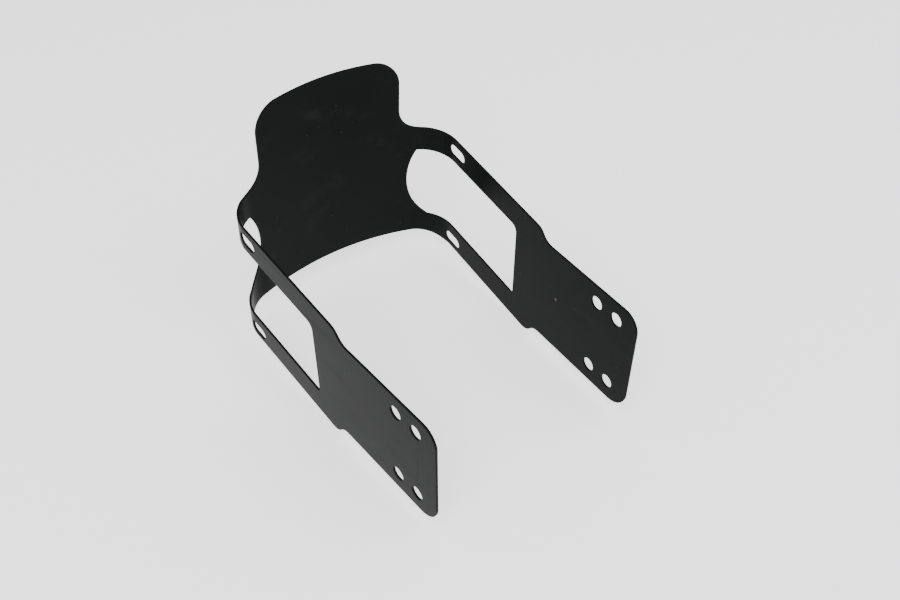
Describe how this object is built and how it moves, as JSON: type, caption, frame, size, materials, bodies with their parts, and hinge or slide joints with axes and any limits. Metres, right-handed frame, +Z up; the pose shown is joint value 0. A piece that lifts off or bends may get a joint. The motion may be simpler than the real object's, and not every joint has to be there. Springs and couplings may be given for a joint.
{
  "type": "fender bracket",
  "caption": "Motorbike front fender bracket bent from steel sheet: a rolled front plate with a raised rounded tab, and windowed legs that end in plates with bolt holes.",
  "frame": {"origin": "midway along the bracket, on its middle plane, level with its lowest edge", "axes": "+X along the end plates' long edges, from the front plate to the free ends; Y across, along the bolt holes; +Z up, to the tab"},
  "size_m": [0.219, 0.156, 0.1616],
  "materials": {
    "coated_steel": "satin black powder coat"
  },
  "bodies": {
    "root": {"bracket": "coated_steel"}
  },
  "joints": []
}
